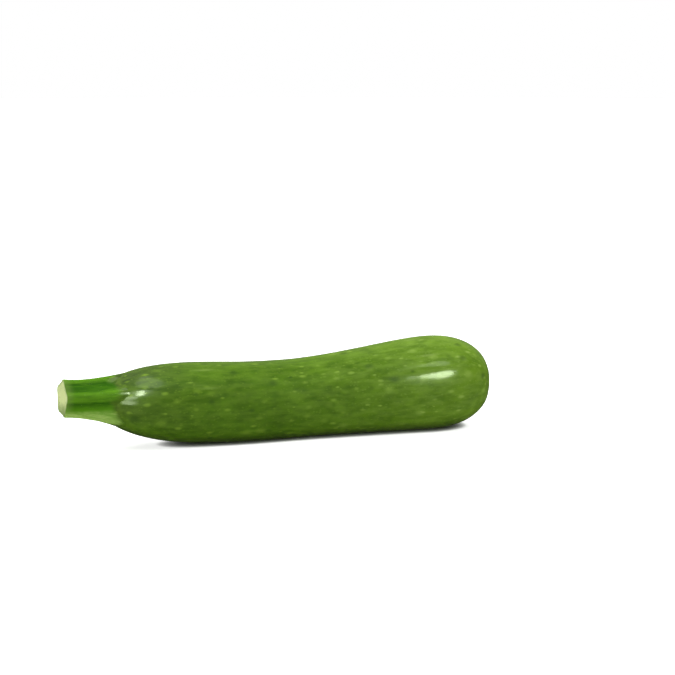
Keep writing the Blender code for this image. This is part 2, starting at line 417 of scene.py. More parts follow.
def form_groups(fruit, stem):
    """The node groups that say where the skin and the stem run."""
    groups = {}
    kind, number, point = "GeometryNodeTree", "NodeSocketFloat", "NodeSocketVector"

    def body_radius(along, length, neck, belly, start, end):
        return between(neck, belly, smooth_step(start, end, along / length))

    groups["radius"] = new_group(
        "Zucchini radius",
        kind,
        {
            "Along": 0.0,
            "Length": fruit.length,
            "Neck radius": fruit.neck_radius,
            "Belly radius": fruit.belly_radius,
            "Swell start": fruit.swell_start,
            "Swell end": fruit.swell_end,
        },
        {"Radius": number},
        body_radius,
    )

    def axis_point(along, length, lift, lifted_share, droop, dome, bow, flat):
        radius = use(along.tree, groups["radius"], along=along)
        lifted = at_least(1 - along / (lifted_share * length), 0)
        drooped = at_least(1 - (length - along) / dome, 0)
        height = radius - flat + lift * lifted * lifted - droop * drooped * drooped
        middle = along / length - 0.5
        return vector(along.tree, along, bow * (1 - 4 * middle * middle), height)

    groups["axis"] = new_group(
        "Zucchini axis",
        kind,
        {
            "Along": 0.0,
            "Length": fruit.length,
            "Stem end lift": fruit.stem_end_lift,
            "Lifted share": fruit.lifted_share,
            "Blossom droop": fruit.blossom_droop,
            "Dome length": fruit.dome_length,
            "Side bow": fruit.side_bow,
            "Flat depth": fruit.flat_depth,
        },
        {"Point": point},
        axis_point,
    )

    def place(along, turn, distance, step):
        tree = along.tree
        here = use(tree, groups["axis"], along=along)
        ahead = use(tree, groups["axis"], along=along + step)
        behind = use(tree, groups["axis"], along=along - step)
        forward = (ahead - behind).normalized()
        back = vector(tree, 0, 0, 1).cross(forward).normalized()
        up = forward.cross(back)
        return here + (up * sine(turn) - back * cosine(turn)) * distance

    groups["place"] = new_group(
        "Zucchini place",
        kind,
        {"Along": 0.0, "Turn": 0.0, "Distance": 0.0, "Step": 0.5 * MM},
        {"Position": point},
        place,
    )

    def skin_factor(along, turn, length, ridges, angle, shoulder_rib, body_rib, fade, faint_rib):
        share = along / length
        ribbed = ridges * (turn - angle)
        near_stem = at_least(1 - share / fade, 0)
        factor = 1 + between(body_rib, shoulder_rib, near_stem * near_stem) * cosine(ribbed)
        factor = factor + faint_rib * cosine(2 * ribbed)
        for size, round_turns, along_turns, start in LUMPS:
            wave = round_turns * turn + math.tau * along_turns * share + start
            factor = factor + size * cosine(wave)
        return factor

    groups["skin"] = new_group(
        "Zucchini ribs and lumps",
        kind,
        {
            "Along": 0.0,
            "Turn": 0.0,
            "Length": fruit.length,
            "Ridges": stem.ridges,
            "Ridge angle": stem.ridge_angle,
            "Rib at shoulder": fruit.rib_at_shoulder,
            "Rib on body": fruit.rib_on_body,
            "Rib fade": fruit.rib_fade,
            "Faint rib": fruit.faint_rib,
        },
        {"Factor": number},
        skin_factor,
    )

    def rounding(closed, length, power):
        return length * at_least(1 - closed**power, 0) ** (1 / power)

    groups["rounding"] = new_group(
        "Rounded end",
        kind,
        {"Closed": 1.0, "Length": fruit.dome_length, "Power": fruit.dome_power},
        {"Run": number},
        rounding,
    )

    def ridge_share(turn, ridges, angle, sharpness):
        return (0.5 + 0.5 * cosine(ridges * (turn - angle))) ** sharpness

    groups["ridge"] = new_group(
        "Stem ridge",
        kind,
        {
            "Turn": 0.0,
            "Ridges": stem.ridges,
            "Ridge angle": stem.ridge_angle,
            "Sharpness": stem.ridge_sharpness,
        },
        {"Share": number},
        ridge_share,
    )

    def shoulder_section(closed, turn, length, power):
        tree = closed.tree
        run = use(tree, groups["rounding"], closed=closed, length=length, power=power)
        along = length - run
        full = use(tree, groups["radius"], along=along)
        return along, full * closed * use(tree, groups["skin"], along=along, turn=turn)

    groups["shoulder"] = new_group(
        "Fruit shoulder",
        kind,
        {
            "Closed": 1.0,
            "Turn": 0.0,
            "Shoulder length": fruit.shoulder_length,
            "Shoulder power": fruit.shoulder_power,
        },
        {"Along": number, "Radius": number},
        shoulder_section,
    )

    def seat_section(turn, share, off, toe_in_groove, toe_on_ridge, step):
        tree = turn.tree
        closed = share * between(toe_in_groove, toe_on_ridge, use(tree, groups["ridge"], turn=turn))
        along, radius = use(tree, groups["shoulder"], closed=closed, turn=turn)
        further = use(tree, groups["shoulder"], closed=closed + step, turn=turn)
        slope = vector(tree, further[0] - along, further[1] - radius, 0).normalized()
        slope_along, slope_out, _ = slope.parts()
        return along - slope_out * off, radius + slope_along * off

    groups["seat"] = new_group(
        "Stem seat",
        kind,
        {
            "Turn": 0.0,
            "Share": 1.0,
            "Off": 0.0,
            "Toe in groove": stem.toe_in_groove,
            "Toe on ridge": stem.toe_on_ridge,
            "Step": 0.01,
        },
        {"Along": number, "Radius": number},
        seat_section,
    )
    return groups


def noise(tree, position, scale, detail=2.0, stretch=1.0, roughness=0.5):
    """Smooth noise around 0, from about -0.5 to 0.5. stretch draws it out along the fruit."""
    x, y, z = position.parts()
    node = add(
        tree,
        "ShaderNodeTexNoise",
        {
            "Vector": vector(tree, x / stretch, y, z),
            "Scale": scale,
            "Detail": detail,
            "Roughness": roughness,
        },
    )
    return Field(node.outputs[0]) - 0.5


def fruit_tree(fruit, stem, groups):
    """The fruit's skin: its rings, its scar, and the fine unevenness of its surface."""
    tree, given = new_tree(
        "Zucchini fruit",
        {
            "Rings": ("Int", 340),
            "Sides": ("Int", 216),
            "Scar radius": ("Float", 5.2 * MM),
            "Scar rim": ("Float", 0.35 * MM),
            "Scar nub": ("Float", 0.6 * MM),
            "Dimple depth": ("Float", 0.12 * MM),
            "Crease depth": ("Float", 0.03 * MM),
            "Skin": ("Material", None),
        },
    )
    mesh, place, turn = ring_grid(tree, given["Rings"], given["Sides"])
    shoulder, body, dome, scar = (
        stretch_share(place, FRUIT_STRETCHES, name) for name in FRUIT_STRETCHES
    )
    scar_share = given["Scar radius"] / fruit.belly_radius
    scar_turn = work(tree, "ARCCOSINE", scar_share ** (fruit.dome_power / 2))
    closed_at_stem = sine(shoulder * (math.pi / 2)) ** (2 / fruit.shoulder_power)
    closed_at_blossom = (1 - scar) * cosine(scar_turn * dome) ** (2 / fruit.dome_power)
    straight = fruit.length - fruit.shoulder_length - fruit.dome_length
    before_dome, _ = use(tree, groups["shoulder"], closed=closed_at_stem, turn=turn)
    dome_run = use(tree, groups["rounding"], closed=closed_at_blossom)
    on_dome = smooth_step(0.0, 0.2, dome)
    out = closed_at_blossom * fruit.belly_radius / given["Scar radius"]
    relief = given["Scar rim"] * hump((out - 0.86) / 0.13) + given["Scar nub"] * hump(out / 0.22)
    along = before_dome + straight * body + dome_run + relief * on_dome
    factor = use(tree, groups["skin"], along=along, turn=turn)
    full = use(tree, groups["radius"], along=along)
    distance = full * closed_at_stem * closed_at_blossom * factor
    spot = use(tree, groups["place"], along=along, turn=turn, distance=distance)
    mesh = moved(tree, mesh, position=spot)
    foot = between(stem.toe_in_groove, stem.toe_on_ridge, use(tree, groups["ridge"], turn=turn))
    ribbed = cosine(stem.ridges * (turn - stem.ridge_angle))
    mesh = stored(tree, mesh, "along", along / fruit.length)
    mesh = stored(tree, mesh, "foot", closed_at_stem / foot + OUT_OF_REACH * body)
    mesh = stored(tree, mesh, "rib", ribbed)
    mesh = stored(tree, mesh, "scar", out + OUT_OF_REACH * (1 - on_dome))

    position = VectorField(add(tree, "GeometryNodeInputPosition").outputs[0])
    broad = noise(tree, position, **DIMPLES)
    small = noise(tree, position, **SMALL_DIMPLES)
    near_stem = smooth_step(0.24, 0.03, along / fruit.length)
    wander = noise(tree, position, **CREASE_WANDER) * 3
    creases = sine(CREASES_ROUND * turn + wander) * near_stem
    scar_grain = noise(tree, position, **SCAR_GRAIN) * smooth_step(1.0, 0.7, out) * on_dome
    height = given["Dimple depth"] * (2 * broad + 0.6 * small) + given["Crease depth"] * creases
    height = height + given["Scar rim"] * scar_grain
    mesh = closed_and_raised(tree, mesh, height)
    x, y, z = VectorField(add(tree, "GeometryNodeInputPosition").outputs[0]).parts()
    mesh = moved(tree, mesh, position=vector(tree, x, y, at_least(z, 0)))
    ended(tree, mesh, given["Skin"])
    return tree


def stem_tree(fruit, stem, groups):
    """The stem: a seat sunk in the fruit, a ridged side with toes, a soft rim and a cut face."""
    tree, given = new_tree(
        "Zucchini stem",
        {
            "Rings": ("Int", 210),
            "Sides": ("Int", 220),
            "Seat sink": ("Float", 1.4 * MM),
            "Toe sink": ("Float", 0.25 * MM),
            "Fibre depth": ("Float", 0.10 * MM),
            "Flesh": ("Material", None),
        },
    )
    mesh, place, turn = ring_grid(tree, given["Rings"], given["Sides"])
    seat, side, rim, cut = (stretch_share(place, STEM_STRETCHES, name) for name in STEM_STRETCHES)
    ridge = use(tree, groups["ridge"], turn=turn - stem.twist * side)
    face_ridge = stem.face_ridge * (1 - ridge) ** stem.face_ridge_sharpness
    cut_radius = between(stem.cut_radius_in_groove, stem.cut_radius_on_ridge, ridge) + face_ridge
    waist_radius = between(stem.waist_radius_in_groove, stem.waist_radius_on_ridge, ridge)
    waist_radius = waist_radius + face_ridge

    def cut_along(radius):
        slope = stem.cut_slope * sine(turn) + stem.cut_side_slope * cosine(turn)
        return slope * radius - stem.length

    seat_along, seat_radius = use(
        tree, groups["seat"], turn=turn, share=seat, off=-given["Seat sink"]
    )
    toe_along, toe_radius = use(
        tree, groups["seat"], turn=turn, share=TOE_END, off=-given["Toe sink"]
    )
    reach = between(stem.reach_in_groove, stem.reach_on_ridge, ridge)
    rise = between(stem.rise_in_groove, stem.rise_on_ridge, ridge)
    points = (
        (toe_along, toe_radius),
        (toe_along - reach, toe_radius - rise),
        (stem.waist_height - stem.length, waist_radius),
        (cut_along(cut_radius) + stem.rim_rounding, cut_radius),
    )
    rest = 1 - side
    weights = (
        rest * rest * rest,
        3 * rest * rest * side,
        3 * rest * side * side,
        side * side * side,
    )
    side_along, side_radius = (
        sum(weight * point[axis] for weight, point in zip(weights, points)) for axis in (0, 1)
    )
    quarter = rim * (math.pi / 2)
    rim_radius = cut_radius - stem.rim_rounding * (1 - cosine(quarter))
    rim_along = cut_along(cut_radius) + stem.rim_rounding * (1 - sine(quarter))
    inner = (cut_radius - stem.rim_rounding) * (1 - cut)
    dish = stem.cut_dish * (1 - (1 - cut) * (1 - cut))
    cut_face_along = cut_along(inner) + dish
    on_side, on_rim, on_cut = (place > STEM_STRETCHES[name] for name in ("seat", "side", "rim"))
    along = between(seat_along, side_along, on_side)
    along = between(along, rim_along, on_rim)
    along = between(along, cut_face_along, on_cut)
    radius = between(seat_radius, side_radius, on_side)
    radius = between(radius, rim_radius, on_rim)
    radius = between(radius, inner, on_cut)
    spot = use(tree, groups["place"], along=along, turn=turn, distance=radius)
    mesh = moved(tree, mesh, position=spot)
    mesh = stored(tree, mesh, "ridge", ridge)
    mesh = stored(tree, mesh, "height", side)
    mesh = stored(tree, mesh, "cut", smooth_step(0.3, 1.0, rim))
    mesh = stored(tree, mesh, "out", 1 - cut)

    position = VectorField(add(tree, "GeometryNodeInputPosition").outputs[0])
    fibres = noise(tree, position, **STEM_FIBRES)
    knots = noise(tree, position, **STEM_KNOTS)
    on_skin = smooth_step(0.02, 0.15, side) * (1 - rim)
    height = given["Fibre depth"] * on_skin * (1.3 * fibres + knots)
    height = height + given["Fibre depth"] * 0.8 * noise(tree, position, **CUT_GRAIN) * on_cut
    mesh = closed_and_raised(tree, mesh, height)
    ended(tree, mesh, given["Flesh"])
    return tree


def prickle_tree():
    """Short stiff hairs, standing out of the stem and leaning towards its cut end."""
    tree, given = new_tree(
        "Stem prickles",
        {
            "Stem": ("Object", None),
            "Density": ("Float", 0.42e6),
            "Length": ("Float", 0.75 * MM),
            "Thickness": ("Float", 0.16 * MM),
            "Least size": ("Float", 0.45),
            "Greatest size": ("Float", 1.15),
            "Seed": ("Int", 7),
            "Hair": ("Material", None),
        },
    )
    source = add(tree, "GeometryNodeObjectInfo", {"Object": given["Stem"]})
    height = Field(named(tree, "height"))
    ridge = Field(named(tree, "ridge"))
    off_foot = smooth_step(0.12, 0.30, height)
    off_rim = smooth_step(0.99, 0.93, height)
    shown = off_foot * off_rim * (0.25 + 0.75 * ridge)
    scatter = add(tree, "GeometryNodeDistributePointsOnFaces", distribute_method="RANDOM")
    tree.links.new(source.outputs["Geometry"], scatter.inputs["Mesh"])
    feed(scatter.inputs["Density"], given["Density"] * shown)
    feed(scatter.inputs["Seed"], given["Seed"])
    cone = add(
        tree,
        "GeometryNodeMeshCone",
        {
            "Vertices": 5,
            "Side Segments": 2,
            "Radius Top": 0.0,
            "Radius Bottom": given["Thickness"] / 2,
        },
        fill_type="TRIANGLE_FAN",
    )
    feed(cone.inputs["Depth"], given["Length"])
    normal = VectorField(scatter.outputs["Normal"])
    lean = normal + vector(tree, -0.45, 0, 0)
    turned = add(tree, "FunctionNodeAlignRotationToVector", {"Vector": lean}, axis="Z")
    sizes = add(
        tree,
        "FunctionNodeRandomValue",
        {2: given["Least size"], 3: given["Greatest size"], "Seed": given["Seed"]},
        data_type="FLOAT",
    )
    placed = add(tree, "GeometryNodeInstanceOnPoints")
    tree.links.new(scatter.outputs["Points"], placed.inputs["Points"])
    tree.links.new(cone.outputs["Mesh"], placed.inputs["Instance"])
    tree.links.new(turned.outputs[0], placed.inputs["Rotation"])
    tree.links.new(sizes.outputs[1], placed.inputs["Scale"])
    ended(tree, placed.outputs[0], given["Hair"])
    return tree


def named(tree, name):
    """The output socket of a node that reads a stored attribute."""
    if tree.type == "SHADER":
        return add(tree, "ShaderNodeAttribute", attribute_name=name).outputs["Fac"]
    node = add(tree, "GeometryNodeInputNamedAttribute", {"Name": name}, data_type="FLOAT")
    return node.outputs[0]


# Finishes


def mixed(share, first, second):
    """A colour that lies this share of the way from the first to the second."""
    node = add(share.tree, "ShaderNodeMix", {0: share, 6: first, 7: second}, data_type="RGBA")
    return Field(node.outputs[2])


def opaque(colour):
    return (*colour, 1.0)


def finish_groups(finish):
    """The shader groups that more than one finish uses."""
    kind, number, groups = "ShaderNodeTree", "NodeSocketFloat", {}

    def grain(position, scale, stretch, detail, low, high):
        tree = position.tree
        return smooth_step(low, high, noise(tree, position, scale, detail, stretch, 0.6))

    groups["grain"] = new_group(
        "Plant grain",
        kind,
        {
            "Position": (0, 0, 0),
            "Scale": 100.0,
            "Stretch": 1.0,
            "Detail": 3.0,
            "Low": -0.1,
            "High": 0.1,
        },
        {"Grain": number},
        grain,
    )

    def specks(position, scale, stretch, size, softness, kept):
        tree = position.tree
        x, y, z = position.parts()
        drawn_out = vector(tree, x / stretch, y, z)
        cells = add(tree, "ShaderNodeTexVoronoi", {"Vector": drawn_out, "Scale": scale})
        draw, size_draw, _ = VectorField(cells.outputs["Color"]).parts()
        reach = size * (0.5 + size_draw)
        distance = Field(cells.outputs[0])
        inside = smooth_step(reach * (1 + softness), reach * (1 - softness), distance)
        return inside * (1 - (draw > kept))

    groups["specks"] = new_group(
        "Plant specks",
        kind,
        {
            "Position": (0, 0, 0),
            "Scale": 300.0,
            "Stretch": 1.0,
            "Size": 0.2,
            "Softness": 0.5,
            "Kept": 0.6,
        },
        {"Specks": number},
        specks,
    )

    def skin(position, along, rib):
        tree = position.tree
        mottle, dapple, streaks = (
            use(tree, groups["grain"], position=position, **values) for values in SKIN_GRAINS
        )
        flecks, blots, dust, spots, scuffs = (
            use(tree, groups["specks"], position=position, **values) for values in SKIN_MARKS
        )
        to_blossom = smooth_step(0.35, 1.0, along)
        at_shoulder = smooth_step(0.26, 0.02, along)
        dark = mixed(to_blossom, opaque(finish.skin_dark), opaque(finish.blossom_dark))
        pale = mixed(to_blossom, opaque(finish.skin_mid), opaque(finish.skin_blossom))
        fleck = mixed(to_blossom, opaque(finish.fleck), opaque(finish.blossom_fleck))
        colour = mixed(clamped(0.48 * mottle + 0.42 * dapple + 0.10 * streaks), dark, pale)
        colour = mixed(at_shoulder * (0.5 - 0.4 * rib), colour, opaque(finish.skin_shoulder))
        _, _, up = position.parts()
        # Painted shadow: the skin is made darker and duller on top by the stem, by height over the
        # floor
        painted_top_shadow = at_shoulder * smooth_step(*PAINTED_TOP_SHADOW_HEIGHTS, up) * (0.50 + 0.40 * mottle)
        colour = mixed(painted_top_shadow, colour, opaque(finish.painted_top_shadow))
        colour = mixed(streaks * 0.20, colour, fleck)
        colour = mixed(clamped(flecks * 0.75 + blots * 0.55 + dust * 0.30), colour, fleck)
        colour = mixed(scuffs * 0.42, colour, opaque(finish.scuff))
        colour = mixed(spots * 0.65, colour, opaque(finish.spot))
        height = 0.5 * flecks + 0.3 * dust + 0.5 * streaks - 0.5 * spots
        return colour, 0.34 + 0.10 * streaks + 0.08 * mottle, height

    groups["skin"] = new_group(
        "Zucchini skin",
        kind,
        {"Position": (0, 0, 0), "Along": 0.0, "Rib": 0.0},
        {"Colour": "NodeSocketColor", "Roughness": number, "Height": number},
        skin,
    )
    return groups


def new_material(name):
    """A material with its tree and its Principled BSDF."""
    made = bpy.data.materials.new(name)
    made.use_nodes = True
    tree = made.node_tree
    return made, tree, tree.nodes["Principled BSDF"]


def grained(tree, groups, position, scale, reach, stretch=1.0):
    """Grain between 0, where the noise is -reach, and 1, where it is reach."""
    values = {"scale": scale, "stretch": stretch, "low": -reach, "high": reach}
    return use(tree, groups["grain"], position=position, **values)


def bumped(surface, tree, height, distance):
    """Feeds a shader's normal from a height field, given in shares of distance."""
    node = add(tree, "ShaderNodeBump", {"Strength": 1.0, "Distance": distance})
    feed(node.inputs["Height"], height)
    tree.links.new(node.outputs["Normal"], surface.inputs["Normal"])


def skin_material(finish, groups):
    """Waxy green skin: mottled, streaked and flecked lengthwise, paler towards the blossom end."""
    made, tree, surface = new_material("zucchini skin")
    position = VectorField(add(tree, "ShaderNodeTexCoord").outputs["Object"])
    along, foot, rib, scar = (Field(named(tree, name)) for name in ("along", "foot", "rib", "scar"))
    colour, roughness, height = use(tree, groups["skin"], position=position, along=along, rib=rib)
    margin = smooth_step(1.05, 1.0, foot + 0.12 * noise(tree, position, 300))
    colour = mixed(margin * 0.15, colour, opaque(finish.fleck))
    ragged = scar + 0.35 * noise(tree, position, 420)
    corky = smooth_step(1.10, 0.88, ragged)
    cork_grain = grained(tree, groups, position, scale=800.0, reach=0.3)
    rim = hump((ragged - 0.84) / 0.20)
    nub = smooth_step(0.36, 0.12, ragged)
    cork_tone = clamped(0.20 + 0.45 * cork_grain + 0.45 * rim - 0.55 * nub)
    cork = mixed(cork_tone, opaque(finish.cork_dark), opaque(finish.cork))
    colour = mixed(smooth_step(2.3, 1.0, scar) * 0.40, colour, opaque(finish.blossom_fleck))
    feed(surface.inputs["Base Color"], mixed(corky, colour, cork))

    feed(surface.inputs["Roughness"], roughness + 0.35 * corky)
    feed(surface.inputs["Coat Weight"], 0.55 - 0.5 * corky)
    surface.inputs["Coat Roughness"].default_value = WAX_ROUGHNESS
    surface.inputs["Specular IOR Level"].default_value = 0.08
    pores = grained(tree, groups, position, scale=1500.0, reach=0.3)
    bumped(surface, tree, height + 0.15 * pores + 0.6 * corky * cork_grain, 0.10 * MM)
    return made


def stem_material(finish, groups):
    """Fresh green stalk: pale fibrous ridges, deep green grooves and a pale, moist cut, with
    painted light underneath and painted shade on the upper grooves.
    """
    made, tree, surface = new_material("zucchini stem")
    position = VectorField(add(tree, "ShaderNodeTexCoord").outputs["Object"])
    ridge, height, cut, out = (
        Field(named(tree, name)) for name in ("ridge", "height", "cut", "out")
    )
    fibres = grained(tree, groups, position, scale=900.0, reach=0.15, stretch=10.0)
    mottle = grained(tree, groups, position, scale=160.0, reach=0.15, stretch=2.0)
    crest = smooth_step(0.25, 0.85, ridge)
    _, _, up = position.parts()
    # Painted light and shade on the grooves: paler low down and darker high up, by height over the
    # floor
    low = smooth_step(*PAINTED_LIGHT_GROOVE_HEIGHTS, up)
    groove = mixed(low, opaque(finish.stem_groove_and_painted_shade), opaque(finish.painted_lit_low_groove))
    on_ridge = clamped(crest * 0.8 + fibres * 0.45 - 0.15)
    colour = mixed(on_ridge, groove, opaque(finish.stem_ridge))
    colour = mixed(mottle * 0.25, colour, groove)
    by_cut = smooth_step(0.82, 1.0, height)
    colour = mixed(by_cut * 0.4, colour, opaque(finish.stem_dry))
    # Painted light: the stem's ridges and fibres are made paler underneath, by height over the
    # floor
    underneath = smooth_step(*PAINTED_UNDERSIDE_LIGHT_HEIGHTS, up) * (0.35 + 0.30 * crest + 0.5 * fibres)
    colour = mixed(clamped(underneath), colour, opaque(finish.painted_underside_light))
    skin_reach = 0.17 + 0.09 * ridge + 0.28 * noise(tree, position, 220, stretch=2.0)
    to_skin = smooth_step(skin_reach + 0.08, skin_reach - 0.08, height)
    skin, _, skin_height = use(
        tree, groups["skin"], position=position, along=0.03, rib=2 * ridge - 1
    )
    colour = mixed(to_skin, colour, skin)
    toe_tips = smooth_step(0.70, 0.95, ridge) * smooth_step(0.16, 0.04, height)
    colour = mixed(toe_tips * (0.30 + 0.45 * fibres), colour, opaque(finish.scuff))

    ring = hump((out - 0.72) / 0.10)
    vessels = use(tree, groups["specks"], position=position, **CUT_VESSELS)
    cut_grain = grained(tree, groups, position, scale=700.0, reach=0.2)
    face = mixed(cut_grain * 0.35, opaque(finish.cut_flesh), opaque(finish.cut_pith))
    face = mixed(ring * vessels * 0.6, face, opaque(finish.stem_ridge))
    face = mixed(smooth_step(0.86, 1.0, out) * 0.5, face, opaque(finish.stem_ridge))
    # The cut's lower part is made darker and greyer, by height over the floor
    blurred = up + 9 * MM * noise(tree, position, 160, detail=3.0)
    face = mixed(smooth_step(*CUT_LOWER_TONE_HEIGHTS, blurred) * 0.80, face, opaque(finish.cut_lower_tone))
    feed(surface.inputs["Base Color"], mixed(cut, colour, face))

    feed(surface.inputs["Roughness"], 0.50 + 0.12 * fibres - 0.10 * cut)
    feed(surface.inputs["Coat Weight"], 0.5 * to_skin)
    surface.inputs["Coat Roughness"].default_value = WAX_ROUGHNESS
    surface.inputs["Specular IOR Level"].default_value = 0.05
    bark = 0.7 * fibres + 0.3 * mottle
    sawn = 0.5 * cut_grain - 0.4 * ring * vessels
    relief = between(bark, skin_height, to_skin) * (1 - cut) + sawn * cut
    bumped(surface, tree, relief, 0.12 * MM)
    return made


def hair_material(finish):
    """Pale hairs, in a mix of the ridge green and the hair colour."""
    made, tree, surface = new_material("stem hair")
    position = VectorField(add(tree, "ShaderNodeTexCoord").outputs["Object"])
    shade = noise(tree, position, 500) + 0.5
    feed(surface.inputs["Base Color"], mixed(shade, opaque(finish.stem_ridge), opaque(finish.hair)))
    surface.inputs["Roughness"].default_value = 0.4
    return made


def floor_material(finish):
    """A pale tabletop that glows for the camera alone, with a painted contact shadow where the
    fruit is near.
    """
    made, tree, surface = new_material("pale floor")
    position = VectorField(add(tree, "ShaderNodeTexCoord").outputs["Object"])
    feed(surface.inputs["Roughness"], 0.7 + 0.1 * noise(tree, position, 8))
    seen = Field(add(tree, "ShaderNodeLightPath").outputs["Is Camera Ray"])
    colour = mixed(seen, opaque(finish.floor_bounce), opaque(finish.floor))
    feed(surface.inputs["Base Color"], colour)
    surface.inputs["Specular IOR Level"].default_value = 0.2
    # Painted contact shadow: the camera-only glow is dimmed by ambient occlusion close to the fruit
    outside_painted_contact_shadow = Field(add(tree, "ShaderNodeAmbientOcclusion", {"Distance": 3 * MM}).outputs["AO"])
    lit = seen * outside_painted_contact_shadow * outside_painted_contact_shadow
    feed(surface.inputs["Emission Color"], mixed(lit, opaque((0, 0, 0)), opaque(finish.floor)))
    surface.inputs["Emission Strength"].default_value = finish.floor_glow
    return made


# What a user can change


def length_of(label, description, default):
    return bpy.props.FloatProperty(
        name=label, description=description, default=default, unit="LENGTH", precision=4
    )


def share_of(label, description, default):
    return bpy.props.FloatProperty(name=label, description=description, default=default)


def colour_of(label, description, default):
    return bpy.props.FloatVectorProperty(
        name=label,
        description=description,
        default=default,
        subtype="COLOR",
        size=3,
        min=0.0,
        max=1.0,
    )


class FruitSettings(bpy.types.PropertyGroup):
    """Sizes of the fruit, and how it lies."""

    length: length_of("Length", "The fruit's length, without its stem", FRUIT_LENGTH)
    neck_radius: length_of("Neck radius", "Radius of the slim half by the stem", 18.4 * MM)
    belly_radius: length_of("Belly radius", "Radius of the thick half by the blossom", 22.4 * MM)
    swell_start: share_of(
        "Swell start", "Where it starts to swell, as a share of its length", 0.465
    )
    swell_end: share_of("Swell end", "Where it has swollen, as a share of its length", 0.90)
    shoulder_length: length_of(
        "Shoulder length", "The rounded stretch by the stem", 0.27 * FRUIT_LENGTH
    )
    shoulder_power: share_of("Shoulder power", "How full the shoulder is rounded", 2.35)
    dome_length: length_of(
        "Dome length", "The rounded stretch by the blossom", 0.195 * FRUIT_LENGTH
    )
    dome_power: share_of("Dome power", "How full the blossom end is rounded", 2.75)
    stem_end_lift: length_of("Stem end lift", "How far the stem end is off the surface", 4.8 * MM)
    lifted_share: share_of("Lifted share", "Share of the length that is off the surface", 0.43)
    blossom_droop: length_of("Blossom droop", "How far the blossom end droops", 0.4 * MM)
    side_bow: length_of("Side bow", "How far the fruit is bowed sideways", 1.0 * MM)
    flat_depth: length_of("Flat depth", "Depth of the flat that it rests on", 0.65 * MM)
    rib_at_shoulder: share_of(
        "Rib at shoulder", "A main rib's share of the radius by the stem", 0.036
    )
    rib_on_body: share_of("Rib on body", "A main rib's share of the radius on the body", 0.010)
    rib_fade: share_of("Rib fade", "Share of the length over which the ribs fade", 0.30)
    faint_rib: share_of("Faint rib", "Share of the radius of the ribs between the main ones", 0.005)
    origin: bpy.props.FloatVectorProperty(
        name="Origin",
        description="Where the fruit's stem end lies in the frame",
        subtype="TRANSLATION",
    )


class StemSettings(bpy.types.PropertyGroup):
    """Sizes of the stem."""

    length: length_of("Length", "From the fruit's end to the cut", 16.8 * MM)
    ridges: bpy.props.IntProperty(
        name="Ridges", description="Ridges round the stem", default=5, min=3
    )
    ridge_angle: bpy.props.FloatProperty(
        name="Ridge angle",
        description="Turn of the first ridge, from the front upwards",
        default=math.radians(32),
        subtype="ANGLE",
    )
    twist: bpy.props.FloatProperty(
        name="Twist",
        description="How far the ridges turn on their way to the cut",
        default=math.radians(-20),
        subtype="ANGLE",
    )
    ridge_sharpness: share_of(
        "Ridge sharpness", "Above 1, the ridges are slimmer than the grooves", 1.25
    )
    cut_radius_in_groove: length_of("Cut radius in groove", "At the cut, in a groove", 7.1 * MM)
    cut_radius_on_ridge: length_of("Cut radius on ridge", "At the cut, on a ridge", 8.9 * MM)
    waist_radius_in_groove: length_of("Waist radius in groove", "Half way, in a groove", 6.6 * MM)
    waist_radius_on_ridge: length_of("Waist radius on ridge", "Half way, on a ridge", 8.7 * MM)
    waist_height: length_of("Waist height", "From the cut to where that is measured", 7.2 * MM)
    toe_in_groove: share_of(
        "Toe in groove", "Reach of the foot there, as a share of the fruit", 0.60
    )
    toe_on_ridge: share_of("Toe on ridge", "Reach of the toes, as a share of the fruit", 0.76)
    reach_in_groove: length_of("Reach in groove", "Length of the foot's rise in a groove", 4.9 * MM)
    reach_on_ridge: length_of("Reach on ridge", "Length of the foot's rise on a ridge", 8.6 * MM)
    rise_in_groove: length_of("Rise in groove", "Height of the foot's rise in a groove", 2.6 * MM)
    rise_on_ridge: length_of("Rise on ridge", "Height of the foot's rise on a ridge", 2.9 * MM)
    face_ridge: length_of("Face ridge", "Height of the line along a groove's floor", 0.45 * MM)
    face_ridge_sharpness: share_of("Face ridge sharpness", "How slim that line is", 6.0)
    cut_slope: share_of(
        "Cut slope", "How much the cut slants, towards the foot on top if positive", -0.09
    )
    cut_side_slope: share_of(
        "Cut side slope", "The same, towards the foot in front if positive", 0.12
    )
    cut_dish: length_of("Cut dish", "How far the cut's middle is sunk", 0.5 * MM)
    rim_rounding: length_of("Rim rounding", "Radius of the cut's edge", 0.5 * MM)


